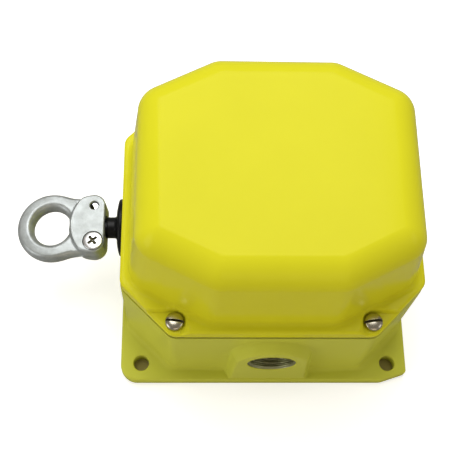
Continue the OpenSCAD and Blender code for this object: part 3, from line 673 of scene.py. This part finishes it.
base = {
    "plate": 5.9,
    "plateHalf": (65.95, 61.2),
    "plateRound": 7.0,
    "plateLeft": 0.6,           # the plate's left edge stands out this much more
    "plateCut": (12.0, 3.9),    # front right corner
    "plateCutRound": (1.5, 8.0),
    "plateEdge": 1.1,
    "plateFoot": ((0.8, 0), (0.2, 0.1), (0, 0.6)),      # its lower edge: in and up
    "tubHalfX": 64.4,
    "tubHalfY": 55.4,
    "tubCut": 21.6,
    "tubRound": 6.0,
    "tubWall": 4.5,
    "tubEdge": 0.3,
    "rebate": (0.8, 1.1),       # the tub's top edge is cut back for the gasket's lip: in and down
    "gasketLip": 0.3,
    "cove": 3.6,
    "holePitch": (114.3, 106.2),
    "hole": 3.57,
    "holeLip": 0.5,
    "bossX": 0.8,
    "bossZ": 33.0,
    "bossFace": 60.5,           # distance of its face from the middle
    "bossRadius": 16.6,
    "bossBlend": 3.4,
    "bossSpread": 0.06,         # the boss widens downwards by this much a mm
    "bossCatch": 1.5,           # only points this near the front wall are pushed out
    "bore": 10.5,
    "boreDepth": 12.0,
    "boreEdge": 0.35,
    "post": 6.0,                # post under a cover screw: radius, and its place nearer the middle
    "postIn": (0.6, 1.4),
    "screwHole": 2.45,
    "screwHoleDepth": 18.0,
    "collar": (12.0, -62.0, -46.4),     # round boss inside the left wall: radius, from and to
    "well": ((6.6, -68.0), (6.6, -59.4), (6.05, -59.4), (6.05, -44.0)),     # bore for the shaft
}

sideStops, cornerStops, backStops = stops((1, 10)), stops((1, 8)), stops((1, 12))
frontStops = stops((0.28, 6), (0.75, 84), (1, 5))       # finer where the boss is
baseSpread = [sideStops, cornerStops, backStops, cornerStops,
              sideStops, cornerStops, frontStops, cornerStops]


def plateLoop(inset):
    # outline of the plate, its front right corner cut
    b = base
    small = b["plateRound"] * cornerLoss + 0.5
    cutX, cutY = ([cut, small, small, small] for cut in b["plateCut"])
    radii = np.full(8, b["plateRound"])
    radii[0], radii[7] = b["plateCutRound"]
    drawn = grownBy(eightSided(*b["plateHalf"], cutX, cutY), -inset)
    drawn[:, 0] -= b["plateLeft"] * (drawn[:, 0] < 0)
    return roundLoop(drawn, np.maximum(radii - inset, 0.4), baseSpread)


def tubLoop(inset):
    # outline of the tub, inset from its wall
    cut = base["tubCut"] - inset * cornerLoss
    corners = eightSided(base["tubHalfX"] - inset, base["tubHalfY"] - inset, cut, cut)
    return roundLoop(corners, max(base["tubRound"] - inset, 1.5), baseSpread)


def makeGasket():
    # a flat ring between the castings with a lip down into the rebate, which draws the
    # thin dark line of the seam
    cutIn, cutDown = base["rebate"]
    lip, flat, inside = tubLoop(cutIn - base["gasketLip"]), tubLoop(cutIn), tubLoop(base["tubWall"])
    low, high = baseTop - cutDown, coverLow[2]
    section = [(lip, low), (lip, high), (inside, high), (inside, baseTop), (flat, baseTop), (flat, low)]
    piece = skinOf("gasket_ring", [atHeight(loop, z) for loop, z in section], closed=True)
    dress(piece, gasketRubber, "housing", "cover_gasket")


def baseRings():
    # underside, plate edge, plate top, cove, tub wall, top edge and rebate, then the inner
    # wall and floor; the conduit boss pushes the front wall outwards
    b = base
    plate, edge = b["plate"], b["plateEdge"]
    rings = [atHeight(plateLoop(inset), up) for inset, up in b["plateFoot"]]
    for t in bend(90, 7):
        rings.append(atHeight(plateLoop(edge * (1 - math.cos(t))), plate - edge * (1 - math.sin(t))))
    wall = tubLoop(0)
    gap = plateLoop(edge) - wall
    width = np.linalg.norm(gap, axis=1)[:, None]
    cove = np.minimum(b["cove"], 0.8 * width)
    outwards = gap / width
    for w in np.linspace(1, 0, 7)[1:-1]:
        rings.append(atHeight(wall + outwards * (cove + (width - cove) * w), plate))
    for t in bend(90, 8):
        rings.append(atHeight(wall + outwards * cove * (1 - math.sin(t)),
                              plate + cove[:, 0] * (1 - math.cos(t))))
    cutIn, cutDown = b["rebate"]
    ledge = baseTop - cutDown
    for z in np.linspace(plate + b["cove"], ledge - b["tubEdge"], 70)[1:]:
        rings.append(atHeight(wall, z))
    for t in np.radians((30, 60, 90)):
        inset, down = b["tubEdge"] * (1 - math.cos(t)), b["tubEdge"] * (1 - math.sin(t))
        rings.append(atHeight(tubLoop(inset), ledge - down))
    rings += [atHeight(tubLoop(cutIn), z) for z in (ledge, baseTop)]
    outside = len(rings)
    rings += [atHeight(tubLoop(b["tubWall"]), z) for z in (baseTop, plate + 2)]
    rings.append(atHeight(tubLoop(b["tubWall"] + 2), plate))
    rings = np.array(rings)

    # the boss is the part of the front wall within an arch: it stands out by its depth,
    # with a soft foot and a soft edge
    x, y, z = np.moveaxis(rings[:outside], -1, 0)
    below = b["bossZ"] - z
    off = np.where(below < 0, np.hypot(x - b["bossX"], below),
                   np.abs(x - b["bossX"]) - b["bossSpread"] * below)
    share = smooth((b["bossRadius"] - off) / b["bossBlend"] + 0.5)
    onWall = smooth(-y - b["tubHalfY"] + b["bossCatch"]) * (z > plate - 0.01)
    pushed = np.maximum(y - share * onWall * (b["bossFace"] - b["tubHalfY"]), -b["bossFace"])
    rings[:outside, :, 1] = np.where(onWall > 0, pushed, y)
    return rings


def makeBase():
    # the casting, with its posts and round boss joined on and its holes cut
    b = base
    plate = b["plate"]
    piece = skinOf("base_casting", baseRings())

    posts = []
    post = rod(b["post"], plate - 1, baseTop - 0.02)
    px, py = screwPlace - b["postIn"]
    for sx, sy in fourCorners:
        posts.append(turned("post", post, 40, at=(px * sx, py * sy, 0)))
    posts.append(turned("collar", rod(*b["collar"]), 64, "X", (0, 0, shaftZ)))
    carve(piece, posts, "UNION")

    holes = []
    lip, r = b["holeLip"], b["hole"]
    flare = [(r + lip * (1 - math.sin(t)), plate - lip * (1 - math.cos(t))) for t in bend(90, 6)]
    barrel = [(onAxis, plate + 1), (r + lip, plate + 1), *flare, (r, -1), (onAxis, -1)]
    tapped = rod(b["screwHole"], baseTop - b["screwHoleDepth"], baseTop + 1)
    halfX, halfY = np.array(b["holePitch"]) / 2
    for sx, sy in fourCorners:
        holes.append(turned("hole", barrel, 48, at=(sx * halfX, sy * halfY, 0)))
        holes.append(turned("thread", tapped, 32, at=(sx * screwPlace[0], sy * screwPlace[1], 0)))
    mouth, bore, edge = -b["bossFace"], b["bore"], b["boreEdge"]
    pipe = [(onAxis, mouth - 1), (bore + edge, mouth - 1), (bore + edge, mouth), (bore, mouth + edge),
            (bore, mouth + b["boreDepth"]), (onAxis, mouth + b["boreDepth"])]
    holes.append(turned("pipe", pipe, 96, "Y", (b["bossX"], 0, b["bossZ"])))
    well = b["well"]
    well = [(onAxis, well[0][1]), *well, (onAxis, well[-1][1])]
    holes.append(turned("well", well, 64, "X", (0, 0, shaftZ)))
    carve(piece, holes)
    dress(piece, basePaint, "housing", "base_housing")


makeGasket()
makeBase()
print("gasket and base made")


# Conduit thread: a liner of ridges inside the mouth

thread = {
    "root": 10.45,          # radius at the mouth
    "depth": 0.9,           # height of a ridge
    "outer": 10.65,
    "pitch": 1.81,
    "start": 0.35,          # distance from the mouth
    "length": 11.0,
    "taper": 0.4,
    "runOut": 0.8,          # the ridges fade over this length at both ends
}


def makeThread():
    # radius = root - depth x ridge - taper, where ridge is a rounded triangle between 0 and 1
    # of (depth into the bore / pitch - turn), so that one turn leads to the next ridge
    t = thread
    turns = np.linspace(0, 1, 160, endpoint=False)
    deep = np.linspace(0, t["length"], 110)[:, None]
    wave = np.abs(2 * np.mod(deep / t["pitch"] - turns, 1) - 1)
    ridge = smooth((wave - 0.15) / 0.7)
    ends = smooth(deep / t["runOut"]) * smooth((t["length"] - deep) / t["runOut"])
    radius = t["root"] - t["depth"] * ridge * ends - t["taper"] * deep / t["length"]
    angle = 2 * math.pi * turns

    def rows(radius, deep):
        # rings round the bore at these depths
        across, up = radius * np.sin(angle), radius * np.cos(angle)
        along = t["start"] - base["bossFace"] + deep
        return np.stack(np.broadcast_arrays(base["bossX"] + across, along, base["bossZ"] + up), -1)

    rings = np.concatenate([rows(radius, deep), rows(t["outer"], deep[[-1, 0]])])
    piece = skinOf("conduit_thread", rings, closed=True)
    dress(piece, cutThread, "housing", None)


makeThread()
print("conduit thread made")


# Screws: a domed head with a recess pressed into its grid, and a plain shank

coverScrew = {
    "head": 3.85,
    "height": 3.0,
    "side": 1.35,           # height of the head's side below the dome
    "rings": 90,
    "around": 200,
    "shank": 2.4,
    "slot": 0.85,
    "slotDepth": 1.5,
    "slotEdge": 0.22,
    "turns": {(-1, -1): -7, (1, -1): 7, (-1, 1): 52, (1, 1): -34},
}

domePower = 2.2
tipRound = 0.4      # the shank narrows by this over this length


def headRings(s):
    # rings from near the centre of a domed head out to its side: height = side + dome x
    # (1 - (r / radius) ^ power) ^ (1 / power)
    t = np.sin(np.linspace(0.02, math.pi / 2, s["rings"]))[:, None]
    angle = np.linspace(0, 2 * math.pi, s["around"], endpoint=False)
    reach = s["head"] * t + 0 * angle
    dome = np.maximum(1 - t ** domePower, 0) ** (1 / domePower)
    z = s["side"] + (s["height"] - s["side"]) * dome + 0 * angle
    return reach * np.cos(angle), reach * np.sin(angle), z


def screwMesh(x, y, z, shank, length, recess, nick=None):
    # the head's rings, its foot, and the shank below it; faces inside the recess (its depth is 0 to 1 on
    # the grid) take the second finish, which is painted shade, and so does the run-out of the thread at the
    # tip, which lies at the angle nick, as a painted dark notch
    angle = np.linspace(0, 2 * math.pi, x.shape[1], endpoint=False)
    runOut = 0 * angle if nick is None else smooth(2.2 * np.cos(angle - math.radians(nick)) - 0.6)
    tip = (shank - tipRound) * (1 - 0.7 * runOut)
    rings = [np.stack([x, y, z], -1), np.stack([x[-1], y[-1], 0 * angle], -1)[None]]
    for radius, level in ((shank, 0), (shank, -length + tipRound + 1.1 * runOut), (tip, -length)):
        ring = np.stack([radius * np.cos(angle), radius * np.sin(angle), 0 * angle + level], -1)
        rings.append(ring[None])
    piece = skinOf("screw", np.concatenate(rings))
    # painted shade: the faces deep in the recess and those of the run-out are marked for the dark finish
    pairs = recess + np.roll(recess, -1, 1)
    sunk = pairs[:-1] + pairs[1:] > 2.4     # of the four corners' sum
    index = np.zeros(len(piece.data.polygons), np.int32)
    index[:sunk.size] = sunk.ravel()
    index[-1 - len(angle):-1] |= runOut > 0.4
    piece.data.polygons.foreach_set("material_index", index)
    return piece


def placed(piece, matrix):
    # bakes a place and a turn, given in mm, into the mesh
    move = matrix.copy()
    move.translation *= mm
    piece.data.transform(move)
    return piece


def aboutZ(degrees):
    # a turn about Z
    return Matrix.Rotation(math.radians(degrees), 4, "Z")


def dressScrews(name, parts, material, body, node):
    # joins the screws to one object and gives their marked faces the painted shade of a recess
    points, faces, finish, count = [], [], [], 0
    for part in parts:
        mesh = part.data
        co = np.empty(len(mesh.vertices) * 3, np.float32)
        mesh.vertices.foreach_get("co", co)
        points.append(co)
        faces += [[v + count for v in face.vertices] for face in mesh.polygons]
        finish += [face.material_index for face in mesh.polygons]
        count += len(mesh.vertices)
        bpy.data.objects.remove(part)
    mesh = bpy.data.meshes.new(name)
    mesh.from_pydata(np.concatenate(points).reshape(-1, 3).tolist(), [], faces)
    mesh.update()
    piece = bpy.data.objects.new(name, mesh)
    bpy.context.collection.objects.link(piece)
    dress(piece, material, body, node, 40)
    piece.data.materials.append(recessShade)
    piece.data.polygons.foreach_set("material_index", finish)


def makeCoverScrews():
    # one in each corner, each slot at its own angle
    s = coverScrew
    seatZ = screwHigh[2] - s["height"]
    parts = []
    for (sx, sy), turn in s["turns"].items():
        x, y, z = headRings(s)
        # slot: a flat-floored groove along X with slightly broken edges
        groove = 1 - smooth((np.abs(y) - s["slot"] / 2) / s["slotEdge"] + 0.5)
        z = np.minimum(z, z * (1 - groove) + (s["height"] - s["slotDepth"]) * groove)
        part = screwMesh(x, y, z, s["shank"], seatZ - screwLow[2], groove)
        seat = Matrix.Translation((sx * screwPlace[0], sy * screwPlace[1], seatZ))
        parts.append(placed(part, seat @ aboutZ(turn)))
    dressScrews("slotted_cover_screws", parts, nickelPlate, "housing", "cover_screws")


makeCoverScrews()
print("cover screws made")


# Rubber boot: lens-shaped flange on the wall and a sleeve round the shaft

boot = {
    "flange": 12.9,
    "flangeEdge": 0.4,
    "rim": 2.1,
    "thick": 3.2,
    "blend": 1.4,
    "sleeve": 4.75,
    "end": -72.2,
    "lip": 0.7,
    "bore": 3.7,
}


def makeBoot():
    # turned about the shaft: flange edge and face, blend, sleeve, its rounded end, and bore
    b = boot
    wall, rim, sleeve, blend = -base["tubHalfX"], b["rim"], b["sleeve"], b["blend"]
    # flange face: thin rounded rim swelling to its full thickness near the sleeve
    across = np.linspace(0, 1, 26)
    outer = b["flange"] - 0.3
    rise = rim + (b["thick"] - rim) * np.sin(across * math.pi / 2) ** 0.8
    face = np.column_stack([outer + (sleeve + blend - outer) * across, wall - rise])
    small = b["flangeEdge"]
    edge = [(b["flange"] - small, wall), (b["flange"], wall - small), (b["flange"], wall - rim + small)]
    root = [(sleeve + blend * (1 - math.sin(t)), wall - b["thick"] - blend * (1 - math.cos(t)))
            for t in bend(90, 9)[1:]]
    end = [(sleeve - b["lip"] * (1 - math.cos(t)), b["end"] + b["lip"] * (1 - math.sin(t)))
           for t in bend(90, 7)]
    inside = [(b["bore"], b["end"]), (b["bore"], wall)]
    profile = [*edge, *face, *root, *end, *inside]
    piece = turned("shaft_boot_rubber", profile, 128, "X", (0, 0, shaftZ), True)
    dress(piece, bootRubber, "housing", "shaft_boot", 50)


makeBoot()
print("boot made")


# Return spring: seen through the conduit entry

spring = {
    "coil": 6.2,            # mean radius
    "wire": 0.9,
    "turns": 7,
    "travel": 10.0,
}


def makeSpring():
    # a round wire in a helix about X
    s = spring
    low, high = boxOf("return_spring")
    length, wire = high[0] - low[0], s["wire"]
    turn = np.linspace(0, 2 * math.pi * s["turns"], 48 * s["turns"] + 1)
    zero = np.zeros_like(turn)
    along = low[0] + wire + (length - 2 * wire) * turn / turn[-1]
    outwards = np.stack([zero, np.cos(turn), np.sin(turn)], -1)
    centre = np.stack([along, zero, zero + shaftZ], -1) + s["coil"] * outwards
    ahead = np.gradient(centre, axis=0)
    ahead /= np.linalg.norm(ahead, axis=1)[:, None]
    across = np.cross(ahead, outwards)[:, None]
    around = np.linspace(0, 2 * math.pi, 14, endpoint=False)[:, None]
    rings = centre[:, None] + wire * (np.cos(around) * outwards[:, None] + np.sin(around) * across)
    piece = skinOf("return_spring_wire", rings)
    dress(piece, springWire, "housing", "return_spring", 60)
    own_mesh(piece)


makeSpring()
print("return spring made")


# Pull eye: two cast halves, the lower one the upper turned over about the shaft

eye = {
    "ball": (-80.5, 0, shaftZ),
    "droop": 4.5,           # degrees by which it hangs at rest
    "ringX": -16.2,
    "ring": 15.6,           # outer radius
    "hole": 8.3,
    "crown": 4.2,
    "inner": (2.8, 2.1),    # rounding towards the hole: reach and power
    "fall": (1.6, 0.2),     # past this distance from the hole the crown falls, softly, by this share
    "outer": (2.0, 2.3),
    "tall": 1.015,          # the ring is a little longer across than along the shaft
    "holeTall": 1.04,
    "right": 8.1,           # clamp block
    "left": -14.0,
    "half": 13.9,
    "corner": 5.5,
    "top": 5.6,
    "edge": 1.0,
    "bow": 19.5,
    "bowX": -8.3,
    "bevel": 1.3,
    "bevelFoot": 0.6,       # it starts this much below the crown
    "web": ((-13.2, 10.4), (-3.0, 9.3), 4.1),   # from, to and half its width
    "clamp": (3.1, 8.5),
    "seat": 3.0,
    "pocket": 4.6,
    "tip": ((2.05, -1), (2.05, 5.35), (2.5, 5.8), (2.5, 9)),    # bore for the other half's screw
    "mouth": ((3.9, 2.5), (5.2, 8.2), (5.2, 10)),               # flare for the shaft
    "cavity": 4.6,          # round the ball
    "parting": 0.06,
    "thinnest": 0.25,
    "around": 560,
    "rings": 96,
}


def softMin(a, b, k):
    # the smaller of two, less (k - |a - b|) ^ 2 / (4 k) where they are closer than k
    h = np.maximum(k - np.abs(a - b), 0) / k
    return np.minimum(a, b) - h * h * k / 4


def blockAway(x, y):
    # distance outwards from the clamp block: a box with round corners, bowed at the ring
    e = eye
    middle, reach = (e["right"] + e["left"]) / 2, (e["right"] - e["left"]) / 2
    qx = np.abs(x - middle) - reach + e["corner"]
    qy = np.abs(y) - e["half"] + e["corner"]
    box = np.hypot(np.maximum(qx, 0), np.maximum(qy, 0)) + np.minimum(np.maximum(qx, qy), 0) - e["corner"]
    return -softMin(-box, -bowAway(x, y), 4)


def bowAway(x, y):
    # distance outwards from the circle that bows the block's end
    return np.hypot(x - eye["bowX"] - eye["bow"], y) - eye["bow"]


def ringAway(x, y):
    # distance outwards from the ring and the webs that carry it: a disc, and a bar with
    # round ends on either side
    (ax, ay), (bx, by), half = eye["web"]
    dx, dy, py = bx - ax, by - ay, np.abs(y)
    along = np.clip(((x - ax) * dx + (py - ay) * dy) / (dx ** 2 + dy ** 2), 0, 1)
    web = np.hypot(x - ax - along * dx, py - ay - along * dy) - half
    return softMin(np.hypot(x - eye["ringX"], y / eye["tall"]) - eye["ring"], web, 1.5)


def rounded(depth, reach, power):
    # 0 at the edge rising to 1 at the reach, as a superellipse
    return (1 - (1 - np.clip(depth / reach, 0, 1)) ** power) ** (1 / power)


def eyeTop(x, y):
    # height of the upper half: the ring's crown, or the block with its rounded edges
    e = eye
    inner = np.hypot(x - e["ringX"], y / e["holeTall"]) - e["hole"]
    start, share = e["fall"]
    lowered = 1 - share * np.clip((inner - start) / (e["ring"] - e["hole"] - start), 0, 1) ** 1.6
    ring = e["crown"] * lowered * rounded(inner, *e["inner"]) * rounded(-ringAway(x, y), *e["outer"])
    depth = -blockAway(x, y)
    side = e["top"] - e["edge"] + e["edge"] * rounded(depth, e["edge"], 2)
    foot = e["crown"] - e["bevelFoot"]
    bowed = foot + (e["top"] - foot) * smooth(-bowAway(x, y) / e["bevel"])
    block = np.minimum(side, bowed) + 9 * np.minimum(depth, 0)
    return -softMin(-ring, -block, 0.7)


def eyeHalf():
    # rings about the hole's centre, from the hole out to where the distance outwards, found
    # by halving, is 0
    e = eye
    theta = np.linspace(0, 2 * math.pi, e["around"], endpoint=False)
    cos, sin = np.cos(theta), np.sin(theta)
    low, high = np.full_like(theta, e["hole"]), np.full_like(theta, 32.0)
    for _ in range(30):
        mid = (low + high) / 2
        x, y = e["ringX"] + mid * cos, mid * sin
        inside = softMin(ringAway(x, y), blockAway(x, y), 3) < 0
        low, high = np.where(inside, mid, low), np.where(inside, high, mid)
    outer = low - 0.001
    spread = (1 - np.cos(np.linspace(0, math.pi, e["rings"])))[:, None] / 2
    inner = e["hole"] / np.hypot(cos, sin / e["holeTall"])
    radius = inner + (outer - inner) * spread
    x, y = e["ringX"] + radius * cos, radius * sin
    z = np.maximum(eyeTop(x, y), e["parting"] + e["thinnest"])
    foot = [np.stack([x[k], y[k], 0 * theta + e["parting"]], -1)[None] for k in (0, -1)]
    rings = np.concatenate([foot[0], np.stack([x, y, z], -1), foot[1]])
    half = skinOf("eye_half", rings, closed=True)

    def filled(profile):
        # the profile closed towards its axis
        return [(onAxis, profile[0][1]), *profile, (onAxis, profile[-1][1])]

    cx, cy = e["clamp"]
    tip = filled(e["tip"])
    size = e["cavity"]
    ball = [(size * math.cos(t), size * math.sin(t)) for t in bend(88, 14)]
    cavity = [(onAxis, -1), (size, -1), *ball, (onAxis, size)]
    carve(half, [turned("pocket", rod(e["pocket"], e["seat"], 9), 72, at=(cx, -cy, 0)),
                 turned("shank", tip, 48, at=(cx, -cy, 0)), turned("tip", tip, 48, at=(cx, cy, 0)),
                 turned("cavity", cavity, 64), turned("mouth", filled(e["mouth"]), 64, "X")])
    return half


def eyePlace(turn):
    # from the eye's own frame to its place, one half turned over about the shaft
    return Matrix.Translation(eye["ball"]) @ Matrix.Rotation(math.radians(-eye["droop"]), 4, "Y") \
        @ Matrix.Rotation(math.radians(turn), 4, "X")


eyeScrew = {
    "head": 4.25,
    "height": 3.2,
    "side": 2.5,
    "rings": 110,
    "around": 260,
    "shank": 1.9,
    "length": 7.4,
    "cross": 2.35,          # half its length
    "arm": 0.6,             # half an arm's width
    "deep": 1.3,
    "turn": 38,
    "nick": 118,
}


def makeEye():
    # both halves, and a screw into each from its own side
    upper = eyeHalf()
    lower = upper.copy()
    lower.data = upper.data.copy()
    bpy.context.collection.objects.link(lower)
    upper.name, lower.name = "cast_eye_upper", "cast_eye_lower"
    for half, turn, node in ((upper, 0, "eye_half_upper"), (lower, 180, "eye_half_lower")):
        placed(half, eyePlace(turn))
        dress(half, castZinc, "eye", node, 40)
    s = eyeScrew
    parts = []
    for turn in (0, 180):
        x, y, z = headRings(s)
        # cross recess: two arms at right angles, shallower towards their ends
        far, near = np.maximum(np.abs(x), np.abs(y)), np.minimum(np.abs(x), np.abs(y))
        arm = (1 - smooth((near - s["arm"]) / 0.16 + 0.5)) * (1 - smooth((far - s["cross"]) / 0.2 + 0.5))
        z = z - arm * s["deep"] * (1 - 0.35 * far / s["cross"])
        part = screwMesh(x, y, z, s["shank"], s["length"], arm, s["nick"])
        seat = Matrix.Translation((eye["clamp"][0], -eye["clamp"][1], eye["seat"]))
        parts.append(placed(part, eyePlace(turn) @ seat @ aboutZ(s["turn"])))
    dressScrews("cross_recessed_eye_screws", parts, brightZinc, "eye", "eye_screws")


makeEye()
print("pull eye made")


def report():
    print("scene built")


report()
